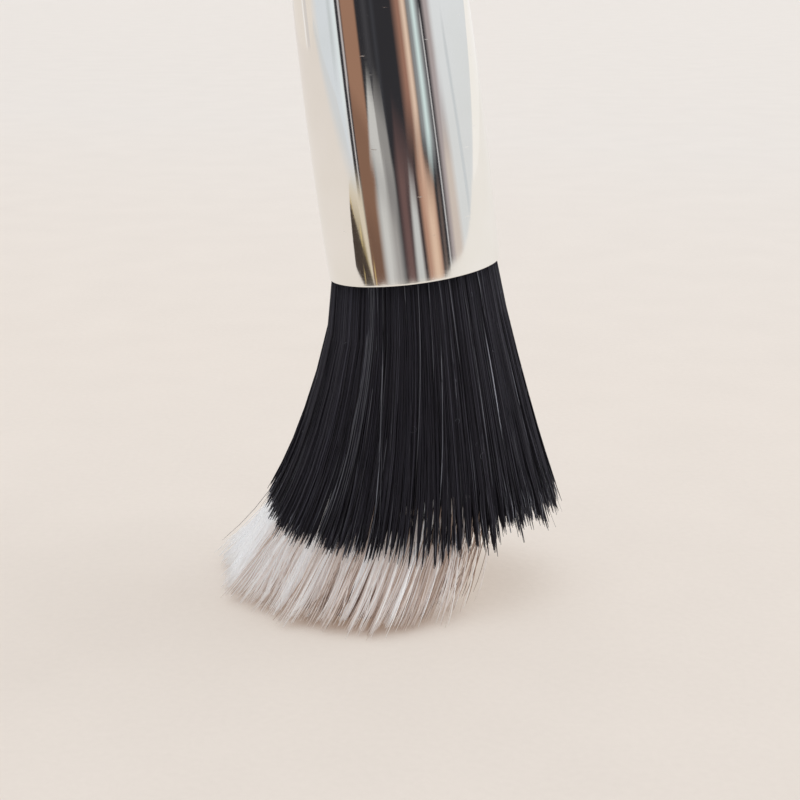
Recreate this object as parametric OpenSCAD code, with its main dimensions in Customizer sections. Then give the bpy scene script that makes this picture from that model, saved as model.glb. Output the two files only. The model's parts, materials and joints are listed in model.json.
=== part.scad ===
// Stippling brush, resting on its pressed head.
// The tips of the white fibres lie on the plane z = 0, and the origin is the point
// where the brush's own axis meets that plane. The top of the brush leans towards -X,
// and the fibre tips trail the same way. Sizes are in millimetres and degrees.

/* [Stance] */
// Lean of the brush axis from upright, towards -X
lean = 7.3; // [0:0.1:10]
// Height of the middle of the ferrule's mouth over the surface
mouth_z = 35; // [30:0.5:42]

/* [Ferrule] */
// Outside diameter of the tube at its mouth
mouth_d = 18; // [15:0.5:22]
// Length of the tube
ferrule_l = 44; // [40:1:60]
// Wall of the tube
ferrule_t = 0.4; // [0.3:0.05:0.6]
// Distance from the mouth to the widest place of the tube
swell_at = 10; // [6:1:14]
// Radius of the long barrel curve of the tube's side
swell_r = 500; // [400:10:900]
// Rounding of the tube's cut edges
lip_r = 0.15; // [0.08:0.01:0.2]
// Number of rings rolled into the tube to grip the handle
crimps = 2; // [1:1:3]
// Distance between the rolled rings
crimp_pitch = 4; // [3:0.5:4.5]
// Width of a rolled ring
crimp_w = 2.2; // [1.6:0.1:2.8]
// Distance from the handle end of the tube to the first ring
crimp_from_end = 4; // [3:0.5:5]
// Depth that a ring bites into the handle's tenon
crimp_bite = 0.25; // [0.1:0.05:0.4]

/* [Handle] */
// Length of the handle outside the ferrule
handle_l = 90; // [60:1:120]
// Length of the straight barrel next to the ferrule
barrel_l = 26; // [16:1:40]
// Step from the ferrule's outside down to the barrel
handle_step = 0.25; // [0.15:0.01:0.4]
// Diameter at the start of the rounded tail
tail_d = 9; // [7:0.5:11]
// Length of the tenon inside the ferrule
tenon_l = 18; // [12:1:20]
// Chamfer at the tenon's tip
tenon_chamfer = 0.8; // [0.4:0.1:1.2]

/* [Knot and glue] */
// Depth of the fibres' cut ends inside the ferrule
knot_top = 12; // [10:0.5:14]
// How much the thread squeezes the bundle's radius at its tied end
knot_squeeze = 0.95; // [0.85:0.05:1.5]
// Distance from the mouth to the lower face of the glue
glue_low = 5; // [3.5:0.5:6]
// Thickness of the glue over the cut ends
glue_cover = 3; // [1.5:0.5:5]
// Diameter of the thread that ties the bundle
thread_d = 0.5; // [0.3:0.05:0.6]
// Number of turns of the thread
thread_turns = 3; // [1:1:4]
// Distance from the mouth to the first turn of the thread
thread_at = 8; // [7:0.5:9]

/* [Head] */
// Width of the head halfway down its black fibres
mid_w = 24.2; // [22:0.2:28]
// Depth of the head at the same place
mid_d = 20.8; // [20:0.2:26]
// Height of that place over the surface
mid_z = 20.4; // [17:0.2:24]
// Shift of that place along X from the mouth's middle
mid_x = 0.5; // [-2:0.1:2]
// Width of the head at the ends of the black fibres
fringe_w = 31.4; // [28:0.2:36]
// Depth of the head at the ends of the black fibres
fringe_d = 25.6; // [24:0.2:32]
// Height of those ends over the surface
fringe_z = 8.9; // [7:0.1:11]
// Shift of those ends along X from the mouth's middle
fringe_x = -0.4; // [-3:0.1:3]
// Width of the patch on which the white tips lie
foot_w = 27; // [25:0.2:34]
// Depth of that patch
foot_d = 26; // [23:0.2:32]
// Shift of that patch along X from the mouth's middle
foot_x = -7.3; // [-8:0.1:0]
// How far the white tips trail along the surface
trail = 6; // [0:0.5:10]

/* [Locks] */
// Number of locks that the fibres fall into, round the head
locks = 76; // [48:1:90]
// Height of a black lock over the grooves beside it, at the fringe
lock_h = 0.5; // [0.2:0.05:0.7]
// Length of the pointed ends of the black locks
spike_l = 2.4; // [1.2:0.1:3.2]
// Reach of a white lock past the grooves beside it, on the surface
tip_reach = 1.6; // [0.6:0.1:2]
// Thickness of the black fibres round the white ones at the mouth
sleeve_t = 3; // [2:0.1:4]
// Thickness of the black fibres at the fringe
fringe_t = 0.9; // [0.6:0.1:1.4]
// Number of pale strands that show among the black fibres
strands = 24; // [12:1:32]
// Width of a pale strand
strand_w = 0.35; // [0.25:0.05:0.5]

/* [Fits] */
// Gap between pieces that are glued or pressed together
fit_gap = 0.05; // [0.03:0.01:0.08]
// Gap between the black and the white fibres
fibre_gap = 0.3; // [0.2:0.05:0.4]
// Gap under a pale strand that lies in a groove of the black fibres
strand_gap = 0.2; // [0.16:0.02:0.3]

/* [Hidden] */
$fn = 96;

// The ferrule's side is a long arc; s is the distance from the mouth along the axis.
mouth_r = mouth_d / 2;
widest_r = mouth_r + swell_at * swell_at / (2 * swell_r);
tenon_r = plain_r(ferrule_l) - ferrule_t - fit_gap;
tenon_tip = ferrule_l - tenon_l;
crimp_zone = ferrule_l - crimp_from_end - (crimps - 1) * crimp_pitch - crimp_w / 2;
barrel_steps = 14;
crimp_steps = 48;
lip_steps = 4;

// The handle's side is a barrel, a slow S-shaped taper and a round tail.
barrel_r = plain_r(ferrule_l) - handle_step;
tail_r = tail_d / 2;
taper_steps = 20;
taper_bend = 0.6;
tail_steps = 10;

// The bundle fills the mouth and is squeezed at its tied end. The glue reaches from
// glue_low to the top of its cover.
bundle_r = mouth_r - ferrule_t - fit_gap;
knot_r = bundle_r - knot_squeeze;
glue_top = knot_top + glue_cover;
glue_steps = 4;
thread_pitch = thread_d + fit_gap;
thread_ring_r = knot_r + fit_gap + thread_d / 2;

// The head is a loft through sections [x, z, half width, half depth, tilt].
mouth_x = -mouth_z * tan(lean);
mouth_section = axis_section(0, bundle_r);
neck_section = axis_section(glue_low, knot_r);
butt_section = axis_section(knot_top, knot_r);
mid_section = [mouth_x + mid_x, mid_z, mid_w / 2, mid_d / 2, lean / 4];
fringe_section = [mouth_x + fringe_x, fringe_z, fringe_w / 2, fringe_d / 2, 0];
foot_section = [mouth_x + foot_x, 0, foot_w / 2, foot_d / 2, 0];
trail_section = foot_section - [trail, 0, 0, 0, 0];
sections = [axis_section(mouth_z / 2, bundle_r), mouth_section, mid_section, fringe_section,
            foot_section, trail_section];
FRINGE = 2;
FOOT = 3;
fringe_to_foot = norm([foot_x - fringe_x, fringe_z]);

// Every lock has a crest and a groove, so the head has two columns of points for each.
// A column is moved by up to column_shift of its width, and a spike or a tip is longer or
// shorter than its neighbours by up to end_shift of its length.
columns = 2 * locks;
column_shift = 0.2;
end_shift = 0.2;
spike_depth = fringe_t / 5;
width_jitter = rands(-1, 1, columns, 11);
black_jitter = rands(-1, 1, columns, 23);
white_jitter = rands(-1, 1, columns, 37);
black_rows = 8;
inner_rows = 6;
white_rows = 6;

// A pale strand has three corners at each of its rings. It starts just under the ferrule,
// and its other rings are level with the rows of the black sleeve.
strand_top = 0.06;
strand_t = 0.7 * strand_w;
strand_jitter = rands(0, 1, strands, 41);

// Outer radius of the tube at s, without its rolled rings
function plain_r(s) = widest_r - (s - swell_at) * (s - swell_at) / (2 * swell_r);

// Depth of the rolled rings at s: each goes down until it bites into the tenon
function crimp_depth(s) = max([for (i = [0:crimps - 1])
    let (at = ferrule_l - crimp_from_end - i * crimp_pitch,
         deep = plain_r(at) - ferrule_t - (tenon_r - crimp_bite))
    abs(s - at) < crimp_w / 2 ? deep * (1 + cos(360 * (s - at) / crimp_w)) / 2 : 0]);

function tube_r(s) = plain_r(s) - crimp_depth(s);
function bore_r(s) = tube_r(s) - ferrule_t;

// Distances from the mouth at which the tube's side has a point
tube_stops = concat(
    [for (i = [0:barrel_steps - 1]) lip_r + (crimp_zone - lip_r) * i / barrel_steps],
    [for (i = [0:crimp_steps]) crimp_zone + (ferrule_l - lip_r - crimp_zone) * i / crimp_steps]);

// A section that lies square to the axis, at s, with radius r
function axis_section(s, r) = [mouth_x - s * sin(lean), mouth_z + s * cos(lean), r, r, lean];

// A smooth curve from b to c that takes its directions from a and d
function smooth(a, b, c, d, t) = (2 * b + (c - a) * t + (2 * a - 5 * b + 4 * c - d) * t * t
    + (3 * b - a - 3 * c + d) * t * t * t) / 2;

// The head's section at u: 0 is the mouth, 1 the middle, 2 the fringe and 3 the foot
function head(u) = let (i = min(floor(u), FOOT - 1))
    smooth(sections[i], sections[i + 1], sections[i + 2], sections[i + 3], u - i);

// The point of a section at share rho of its radius and angle phi round it
function place(section, rho, phi) = [
    section[0] + rho * section[2] * cos(phi) * cos(section[4]),
    rho * section[3] * sin(phi),
    section[1] + rho * section[2] * cos(phi) * sin(section[4])];

function mix(a, b, t) = a + (b - a) * min(max(t, 0), 1);

// Thickness of the black sleeve at u, and the share of the radius that is left inside it
function sleeve(u) = mix(sleeve_t, fringe_t, u / FRINGE);
function core_share(section, thickness) = 1 - thickness / section[2];

function angle(column) = 360 * (column + column_shift * width_jitter[column]) / columns;
// 1 on a crest, -1 in a groove
function side(column) = column % 2 == 0 ? 1 : -1;
function ridge(column, u, section, height) = side(column) * height * u / FOOT / section[2];

// Where a black column ends: long on a crest, short in a groove
function black_end(column) = FRINGE
    + (side(column) / 2 + black_jitter[column] * end_shift) * spike_l / fringe_to_foot;

// The points of one column of the black sleeve, down its outside and up its inside
function black_column(column) = let (
    phi = angle(column),
    last = black_end(column),
    tip = head(last),
    neck_share = core_share(neck_section, sleeve_t),
    mouth_share = core_share(mouth_section, sleeve_t))
    concat(
        [place(butt_section, 1, phi), place(neck_section, 1, phi)],
        [for (i = [0:black_rows - 1])
            let (u = last * i / black_rows, section = head(u))
            place(section, 1 + ridge(column, u, section, lock_h), phi)],
        [place(tip, 1 - spike_depth / tip[2], phi)],
        [for (i = [inner_rows - 1:-1:1])
            let (u = FRINGE * i / inner_rows, section = head(u))
            place(section, core_share(section, sleeve(u)), phi)],
        [place(mouth_section, mouth_share, phi),
         place(neck_section, neck_share, phi),
         place(butt_section, neck_share, phi)]);

// The points of one column of the white fibres, from the cut ends down to the tips
function white_column(column) = let (
    phi = angle(column),
    inside = sleeve_t + fibre_gap,
    reach = (side(column) / 2 + white_jitter[column] * end_shift) * tip_reach / foot_section[2])
    concat(
        [place(butt_section, core_share(butt_section, inside), phi),
         place(neck_section, core_share(neck_section, inside), phi),
         place(mouth_section, core_share(mouth_section, inside), phi)],
        [for (i = [1:inner_rows])
            let (u = FRINGE * i / inner_rows, section = head(u))
            place(section, core_share(section, sleeve(u) + fibre_gap), phi)],
        [for (i = [1:white_rows])
            let (t = i / white_rows,
                 section = head(FRINGE + t),
                 start = core_share(section, fringe_t + fibre_gap))
            place(section, mix(start, 1 + reach, t * t * (3 - 2 * t)), phi)]);

// The groove that a pale strand lies in: one of each equal share of the grooves
function strand_column(i) = 2 * floor((i + strand_jitter[i]) * locks / strands) + 1;

// The three corners of a pale strand at u: one in the groove and two over it
function strand_ring(column, u) = let (
    section = head(u),
    phi = angle(column),
    spread = strand_w / 2 / section[2] * 180 / PI,
    low = 1 + ridge(column, u, section, lock_h) + strand_gap / section[2],
    high = low + strand_t / section[2])
    [place(section, low, phi), place(section, high, phi + spread),
     place(section, high, phi - spread)];

// Two triangles for each cell of a grid whose columns close into a ring
function ring_cells(rows, closed) = [for (r = [0:(closed ? rows - 1 : rows - 2)], c = [0:columns - 1])
    let (below = (r + 1) % rows, next = (c + 1) % columns)
    each [[r * columns + c, r * columns + next, below * columns + next],
          [r * columns + c, below * columns + next, below * columns + c]]];

function by_rows(grid) = [for (r = [0:len(grid[0]) - 1], c = [0:columns - 1]) grid[c][r]];

module on_axis() {
    rotate([0, -lean, 0]) translate([0, 0, mouth_z / cos(lean)]) children();
}

// Round edge of the tube's cut end, from its inside to its outside
function lip(s, turn) = [for (i = [0:lip_steps])
    let (a = 90 * i / lip_steps)
    [tube_r(s) - lip_r + lip_r * sin(a), s + turn * lip_r * cos(a)]];

module ferrule() {
    outside = [for (s = tube_stops) [tube_r(s), s]];
    inside = [for (i = [len(tube_stops) - 1:-1:0]) [bore_r(tube_stops[i]), tube_stops[i]]];
    top_lip = lip(ferrule_l - lip_r, 1);
    color("#d8d2c4") on_axis() rotate_extrude()
        polygon(concat(
            [[bore_r(0), 0]],
            lip(lip_r, -1),
            [for (i = [1:len(outside) - 2]) outside[i]],
            [for (i = [lip_steps:-1:0]) top_lip[i]],
            [[bore_r(ferrule_l), ferrule_l]],
            [for (i = [1:len(inside) - 2]) inside[i]]));
}

// Radius of the handle's taper at share t of its length, flat where it meets the barrel
function taper_r(t) = mix(barrel_r, tail_r, t * t * (1 + taper_bend * (1 - t)));

module handle() {
    shoulder = ferrule_l + fit_gap;
    barrel_top = shoulder + barrel_l;
    tail_at = shoulder + handle_l - tail_r;
    tenon_stops = [for (i = [0:crimp_steps])
        crimp_zone + (ferrule_l - crimp_zone) * i / crimp_steps];
    color("#141316") on_axis() rotate_extrude()
        polygon(concat(
            [[0, tenon_tip], [tenon_r - tenon_chamfer, tenon_tip],
             [tenon_r, tenon_tip + tenon_chamfer]],
            [for (s = tenon_stops) [min(tenon_r, bore_r(s) - fit_gap), s]],
            [[tenon_r, shoulder], [barrel_r, shoulder]],
            [for (i = [0:taper_steps])
                [taper_r(i / taper_steps), mix(barrel_top, tail_at, i / taper_steps)]],
            [for (i = [1:tail_steps])
                let (a = 90 * i / tail_steps) [tail_r * cos(a), tail_at + tail_r * sin(a)]]));
}

module glue_plug() {
    pocket_r = knot_r + fit_gap;
    groove_low = thread_at - thread_pitch / 2;
    groove_top = groove_low + thread_turns * thread_pitch;
    groove_r = thread_ring_r + thread_d / 2 + fit_gap;
    color("#c9b178") on_axis() rotate_extrude()
        polygon(concat(
            [[pocket_r, glue_low]],
            [for (i = [0:glue_steps])
                let (s = mix(glue_low, glue_top, i / glue_steps)) [bore_r(s) - fit_gap, s]],
            [[0, glue_top], [0, knot_top + fit_gap], [pocket_r, knot_top + fit_gap],
             [pocket_r, groove_top], [groove_r, groove_top],
             [groove_r, groove_low], [pocket_r, groove_low]]));
}

module binding_thread() {
    color("#e6e0d2") on_axis()
        for (i = [0:thread_turns - 1])
            translate([0, 0, thread_at + i * thread_pitch])
                rotate_extrude() translate([thread_ring_r, 0]) circle(d = thread_d, $fn = 24);
}

module black_fibres() {
    grid = [for (c = [0:columns - 1]) black_column(c)];
    color("#1c1b20")
        polyhedron(points = by_rows(grid), faces = ring_cells(len(grid[0]), true), convexity = 10);
}

module white_fibres() {
    grid = [for (c = [0:columns - 1]) white_column(c)];
    rows = len(grid[0]);
    top = rows * columns;
    bottom = top + 1;
    last = (rows - 1) * columns;
    color("#d6d1ce")
        polyhedron(
            points = concat(by_rows(grid),
                [place(butt_section, 0, 0), place(foot_section, 0, 0)]),
            faces = concat(
                ring_cells(rows, false),
                [for (c = [0:columns - 1]) [top, (c + 1) % columns, c]],
                [for (c = [0:columns - 1]) [bottom, last + c, last + (c + 1) % columns]]),
            convexity = 10);
}

module pale_strand(column) {
    last = black_end(column);
    rings = [for (r = [0:black_rows])
        strand_ring(column, max(strand_top, last * r / black_rows))];
    final = 3 * black_rows;
    polyhedron(
        points = [for (ring = rings) each ring],
        faces = concat(
            [[0, 1, 2], [final, final + 2, final + 1]],
            [for (r = [0:black_rows - 1], c = [0:2])
                let (a = 3 * r + c, b = 3 * r + (c + 1) % 3)
                each [[a, a + 3, b + 3], [a, b + 3, b]]]));
}

module pale_strands() {
    color("#a9aeb6")
        for (i = [0:strands - 1]) pale_strand(strand_column(i));
}

handle();
ferrule();
glue_plug();
binding_thread();
black_fibres();
white_fibres();
pale_strands();
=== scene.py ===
# %% [markdown]
# # A stippling brush, pressed on its fibres
# The brush has a lacquered wooden handle, a polished metal ferrule and a head of two kinds of plastic fibre.
# Its black fibres are short. Its white fibres are longer, and their tips lie splayed on the surface.
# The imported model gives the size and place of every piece. This script gives each piece its finish and
# builds the fibres one by one, because a solid head would show neither their gloss nor their fine ends.

# %% Load the frame
import json
import math
from collections import namedtuple

import bpy
import numpy as np
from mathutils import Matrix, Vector


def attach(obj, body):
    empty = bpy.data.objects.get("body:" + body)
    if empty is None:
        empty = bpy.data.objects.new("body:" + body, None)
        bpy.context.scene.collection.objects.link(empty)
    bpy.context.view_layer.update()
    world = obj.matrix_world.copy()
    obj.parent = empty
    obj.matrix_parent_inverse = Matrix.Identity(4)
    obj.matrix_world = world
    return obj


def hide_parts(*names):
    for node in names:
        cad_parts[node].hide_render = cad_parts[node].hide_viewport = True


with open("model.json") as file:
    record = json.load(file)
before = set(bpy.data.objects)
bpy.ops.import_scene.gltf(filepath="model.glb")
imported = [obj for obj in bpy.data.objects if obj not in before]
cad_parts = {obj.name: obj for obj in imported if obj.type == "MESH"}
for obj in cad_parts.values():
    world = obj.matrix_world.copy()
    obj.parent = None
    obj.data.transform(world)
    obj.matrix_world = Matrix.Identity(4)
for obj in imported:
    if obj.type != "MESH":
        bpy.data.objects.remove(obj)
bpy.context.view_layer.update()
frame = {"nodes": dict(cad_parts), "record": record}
MM = 0.001
print("nodes:", ", ".join(sorted(frame["nodes"])))

# %% [markdown]
# ## Camera
# A close camera makes the near fibres spread out, so the distance matters as much as the lens.
# The target is a point on the head's own middle plane, and the camera looks down on it a little.

# %% Camera
CAMERA_TARGET = Vector((-5.97, 0, 20.4)) * MM
CAMERA_DISTANCE = 172.2 * MM
CAMERA_ELEVATION = math.radians(16.4)
CAMERA_LENS = 72

camera = bpy.data.objects.new("camera", bpy.data.cameras.new("camera"))
bpy.context.scene.collection.objects.link(camera)
camera.data.lens = CAMERA_LENS
camera.data.clip_start = 10 * MM
camera.data.clip_end = 20
away = Vector((0, -math.cos(CAMERA_ELEVATION), math.sin(CAMERA_ELEVATION)))
camera.location = CAMERA_TARGET + away * CAMERA_DISTANCE
camera.rotation_euler = (math.pi / 2 - CAMERA_ELEVATION, 0, 0)
bpy.context.scene.camera = camera
bpy.context.scene.view_settings.view_transform = "Standard"
print("camera at", [round(c / MM, 1) for c in camera.location], "mm")

# %% [markdown]
# ## Helpers for materials
# Colours are written as sRGB hex values, as a colour picker shows them, and shaders count in linear light.
# One function adds any kind of node: it sets the node's settings, and for each socket, named or numbered, it
# either links another node's output or sets a value. Another starts a material with its Principled shader,
# and a last one feeds that shader from the nodes that were added.

# %% Colour and node helpers
def linear(code):
    """The linear colour, with alpha, of an sRGB hex value."""
    parts = [int(code[i:i + 2], 16) / 255 for i in (1, 3, 5)]
    return [c / 12.92 if c <= 0.04045 else ((c + 0.055) / 1.055) ** 2.4 for c in parts] + [1.0]


def add(tree, kind, sockets=None, stops=None, **settings):
    """Adds a node with its settings, its links or values, and the stops of its ramp if it has one."""
    node = tree.nodes.new(kind)
    for name, value in settings.items():
        setattr(node, name, value)
    for socket, value in (sockets or {}).items():
        if isinstance(value, bpy.types.NodeSocket):
            tree.links.new(value, node.inputs[socket])
        else:
            node.inputs[socket].default_value = value
    for index, (place_on_ramp, code) in enumerate(stops or []):
        elements = node.color_ramp.elements
        element = elements[index] if index < 2 else elements.new(place_on_ramp)
        element.position = place_on_ramp
        element.color = linear(code)
    return node


def empty_material(name):
    """A material without nodes, and its tree."""
    material = bpy.data.materials.new(name)
    material.use_nodes = True
    material.node_tree.nodes.clear()
    return material, material.node_tree


def new_material(name, **constants):
    """A material with a bare Principled shader, whose constant sockets are set by name."""
    material, tree = empty_material(name)
    shader = add(tree, "ShaderNodeBsdfPrincipled",
                 {name.replace("_", " "): value for name, value in constants.items()})
    add(tree, "ShaderNodeOutputMaterial", {"Surface": shader.outputs["BSDF"]})
    return material, tree, shader


def feed(tree, shader, **sources):
    """Links nodes' outputs to the shader's sockets, which are named with _ for a space."""
    for name, source in sources.items():
        tree.links.new(source, shader.inputs[name.replace("_", " ")])


def per_metre(size_mm):
    """The scale of a pattern whose features are this many millimetres apart."""
    return 1 / (size_mm * MM)


print("white in linear light:", linear("#ffffff")[:3])

# %% [markdown]
# ## The form of the head
# The head is a loft: four ovals, from the ferrule's mouth to the patch on the surface, and a smooth curve
# through them. One more oval beyond each end gives the curve its direction there. A place on the loft is
# told by u, how far down, rho, the share of the oval's radius, and phi, the angle round it. Every fibre is
# a path in these three numbers, so all of them follow the same flare.

# %% Sections of the head
grip = next(mount for mount in frame["record"]["mounts"] if mount["name"] == "grip")
LEAN = math.asin(-grip["axis"][0])
MOUTH_Z = 35.0
MOUTH_X = -MOUTH_Z * math.tan(LEAN)
BUNDLE_R = 8.55
INSIDE_FERRULE = 17.5
FRINGE_U = 2.0

# Middle x and z, half width, half depth and tilt of each oval, in millimetres and radians
SECTIONS = np.array([
    (MOUTH_X - INSIDE_FERRULE * math.sin(LEAN), MOUTH_Z + INSIDE_FERRULE * math.cos(LEAN),
     BUNDLE_R, BUNDLE_R, LEAN),
    (MOUTH_X, MOUTH_Z, BUNDLE_R, BUNDLE_R, LEAN),
    (MOUTH_X + 0.45, 20.4, 11.75, 10.2, LEAN / 4),
    (MOUTH_X - 0.15, 8.9, 15.95, 12.8, 0),
    (MOUTH_X - 7.3, 0, 13.5, 13, 0),
    (MOUTH_X - 13.3, 0, 13.5, 13, 0),
])


def head(u):
    """The oval at u: 0 is the mouth, 1 the middle, 2 the fringe and 3 the foot."""
    u = np.asarray(u, float)
    first = np.clip(np.floor(u), 0, 2).astype(int)
    t = (u - first)[..., None]
    a, b, c, d = (SECTIONS[first + step] for step in range(4))
    return (2 * b + (c - a) * t + (2 * a - 5 * b + 4 * c - d) * t ** 2
            + (3 * b - a - 3 * c + d) * t ** 3) / 2


def place(u, rho, phi):
    """Points of the head, in millimetres."""
    x, z, half_width, half_depth, tilt = np.moveaxis(head(u), -1, 0)
    across = rho * half_width * np.cos(phi)
    return np.stack([x + across * np.cos(tilt), rho * half_depth * np.sin(phi) + 0 * x,
                     z + across * np.sin(tilt)], -1)


print("the brush leans", round(math.degrees(LEAN), 2), "degrees; the mouth is at x", round(MOUTH_X, 2))

# %% [markdown]
# ## From paths to fibres
# A hair system could draw the fibres, but only as long as the script runs in Blender. Real meshes can be
# exported too, so each fibre is a thin tube with three sides that tapers to its tip. Smooth shading makes
# three sides look round at this size. All the fibres of one kind share a mesh, and an attribute named tone
# tells the material how light each one is. No point goes below the surface that the brush stands on.

# %% Fibre mesh helper
SIDES = 3


def unit(vectors):
    """The vectors at length 1."""
    return vectors / np.linalg.norm(vectors, axis=-1, keepdims=True)


def new_object(name, points, faces, material, smooth=True):
    """An object from points in millimetres."""
    mesh = bpy.data.meshes.new(name)
    mesh.from_pydata((np.asarray(points).reshape(-1, 3) * MM).tolist(), [], faces)
    mesh.materials.append(material)
    if smooth:
        mesh.shade_smooth()
    made = bpy.data.objects.new(name, mesh)
    bpy.context.scene.collection.objects.link(made)
    return made


def set_attribute(made, name, values):
    """Stores one number per point, for a material to read by this name."""
    attribute = made.data.attributes.new(name, "FLOAT", "POINT")
    attribute.data.foreach_set("value", np.ravel(values).astype(np.float32))


def fibre_object(name, paths, radii, tones, material, rng):
    """Tapered tubes along paths (fibre, ring, xyz); radii and tones are given for each ring."""
    fibres, rings = radii.shape
    along = unit(np.gradient(paths, axis=1))
    chord = unit(paths[:, -1] - paths[:, 0])
    aside = unit(np.cross(chord, rng.normal(size=(fibres, 3))))[:, None]
    aside = unit(aside - (aside * along).sum(-1, keepdims=True) * along)
    other = np.cross(along, aside)
    corners = [paths + radii[..., None] * (aside * math.cos(turn) + other * math.sin(turn))
               for turn in np.arange(SIDES) * math.tau / SIDES]
    points = np.stack(corners, 2)
    points[..., 2] = np.maximum(points[..., 2], 0)
    index = np.arange(fibres * rings * SIDES).reshape(fibres, rings, SIDES)
    low, high = index[:, :-1], index[:, 1:]
    sides = np.stack([low, np.roll(low, -1, 2), np.roll(high, -1, 2), high], -1).reshape(-1, 4)
    ends = np.concatenate([index[:, 0, ::-1], index[:, -1]])
    made = new_object(name, points, sides.tolist() + ends.tolist(), material)
    set_attribute(made, "tone", np.repeat(np.broadcast_to(tones, radii.shape), SIDES))
    print(f"{name}: {fibres} fibres, {2 * len(sides) + len(ends)} triangles")
    return made


def taper(thick, rings, tip_share, tip_r=0.012):
    """Radii that keep to thick and shrink to tip_r over the last tip_share of the length."""
    t = np.linspace(0, 1, rings)
    left = np.clip((1 - t) / tip_share, 0, 1) ** 0.7
    return tip_r + (np.asarray(thick)[:, None] - tip_r) * left


# %% [markdown]
# ## Clumps
# Fibres of both kinds cling together: the black ones in flat locks, the white ones in tufts. So the circle
# is parted into clumps of uneven width, and every fibre gets one of them by chance. Its offset, from -1 at
# one side of the clump to 1 at the other, later tells how far it gathers and how far it reaches.

# %% Clumps
CLUMP_UNEVEN = (0.6, 1.4)


def clumps(count, parts, wide, rng):
    """Each fibre's clump and its offset in it, then each clump's middle and half width, in radians."""
    edges = np.concatenate([[0], np.cumsum(wide * rng.uniform(*CLUMP_UNEVEN, parts))])
    edges = edges / edges[-1] * math.tau - math.pi
    angle = rng.uniform(-math.pi, math.pi, count)
    clump = np.clip(np.searchsorted(edges, angle) - 1, 0, parts - 1)
    middle, half = (edges[1:] + edges[:-1]) / 2, np.diff(edges) / 2
    return clump, (angle - middle[clump]) / half[clump], middle, half


print("a lock or tuft is", CLUMP_UNEVEN[0], "to", CLUMP_UNEVEN[1], "times as wide as the mean one")

# %% [markdown]
# ## Black fibres
# They are filaments of PBT, a polyester, dyed black in the melt and cut short. PBT is smooth, so each one
# has a narrow line of gloss, and between them it is nearly black. The colour varies a little from fibre to
# fibre, and a fine noise breaks the gloss along each one.

# %% Black fibre material
def black_pbt():
    material, tree, shader = new_material("black_pbt_filament", IOR=1.55, Specular_IOR_Level=0.2)
    tone = add(tree, "ShaderNodeAttribute", attribute_name="tone")
    where = add(tree, "ShaderNodeTexCoord")
    dust = add(tree, "ShaderNodeTexNoise",
               {"Vector": where.outputs["Object"], "Scale": per_metre(0.6), "Detail": 3.0})
    colour = add(tree, "ShaderNodeValToRGB", {"Fac": tone.outputs["Fac"]},
                 stops=[(0.0, "#1a191f"), (0.6, "#2f2e38"), (1.0, "#4e4e5a")])
    gloss = add(tree, "ShaderNodeMapRange",
                {"Value": dust.outputs["Fac"], "To Min": 0.5, "To Max": 0.7})
    feed(tree, shader, Base_Color=colour.outputs["Color"], Roughness=gloss.outputs["Result"])
    return material


BLACK_PBT = black_pbt()
print("black fibres:", BLACK_PBT.name)

# %% [markdown]
# A black fibre still points outwards where it ends, as a stiff filament does. It follows the loft to the
# head's middle, and from there one even bend. The fringe hangs lowest on the viewer's side. Pressing the
# brush has bent the head towards -X. On the right, that has opened the black locks into fewer, wider and
# longer spikes.

# %% Fringe
# The length of one step of u along the fibres, in mm
MM_PER_U = 11.3
# At these angles round the head, in degrees: how much further down the fringe reaches, in u, the length of
# its spikes in mm, and how wide its locks are beside the narrow ones
FRINGE_PHI = np.radians((-180, -163, -150, -135, -95, -80, -72, -62, -40, 0, 90, 180))
FRINGE_REACH = (-0.08, -0.06, 0.04, 0.09, 0.16, 0.16, 0.04, -0.01, -0.12, -0.11, -0.02, -0.08)
SPIKE_L = (1.5, 1.5, 1.5, 1.4, 1.3, 1.5, 2.2, 3.0, 3.4, 2.6, 2.0, 1.5)
LOCK_WIDE = (1.0, 1.0, 1.0, 1.0, 1.0, 1.0, 1.1, 1.4, 2.2, 2.6, 1.2, 1.0)


def flared(u, rho, phi):
    """Points that follow the loft to the middle, and then one even bend through its place at the fringe."""
    mouth, middle, fringe = (place(at + 0 * u, rho, phi) for at in (0, 1, FRINGE_U))
    further = np.maximum(u - 1, 0)[..., None]
    heading = (fringe - mouth) / 2
    bend = (fringe - middle - heading) * further ** 2
    return place(np.minimum(u, 1), rho, phi) + heading * further + bend


def fringe_at(phi):
    """Where the black fibres end on this side, in u."""
    return FRINGE_U + np.interp((phi + math.pi) % math.tau - math.pi, FRINGE_PHI, FRINGE_REACH)


print("the fringe ends between u", round(FRINGE_U + min(FRINGE_REACH), 2), "and",
      round(FRINGE_U + max(FRINGE_REACH), 2))

# %% [markdown]
# The fibres of a lock lie side by side under the ferrule and gather towards its middle at the tip. Those in
# its middle reach furthest, so each lock ends in a point. The rings of the tubes lie closer together towards
# the tip, where a fibre bends and thins. No fibre runs quite straight: each drifts and waves a little.

# %% Black locks
BLACK_LOCKS = 200
BLACK_ROOT_U = -0.05
# The share of a lock's width that is gone at its tip, and how much its root overlaps the next ones
LOCK_GATHER = 0.86
LOCK_OVERLAP = 1.15
# How unevenly the locks reach, as a share of their spikes, and the fibres in them, in mm
LOCK_UNEVEN = 0.4
FIBRE_UNEVEN = 0.3
# A fibre's sideways drift at its root and its wave, in radians, and a lock's lift as a share of the radius
DRIFT = 0.02
WAVE = 0.004
LOCK_LIFT = 0.01
# The ferrule squeezes the layers together: near it, the inner fibres lie this much closer to the outside
SQUEEZED = 0.35


def few(rng, count, share, times):
    """The number times for this share of the fibres, and 1 for the rest."""
    return np.where(rng.random(count) < share, times, 1)


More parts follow.
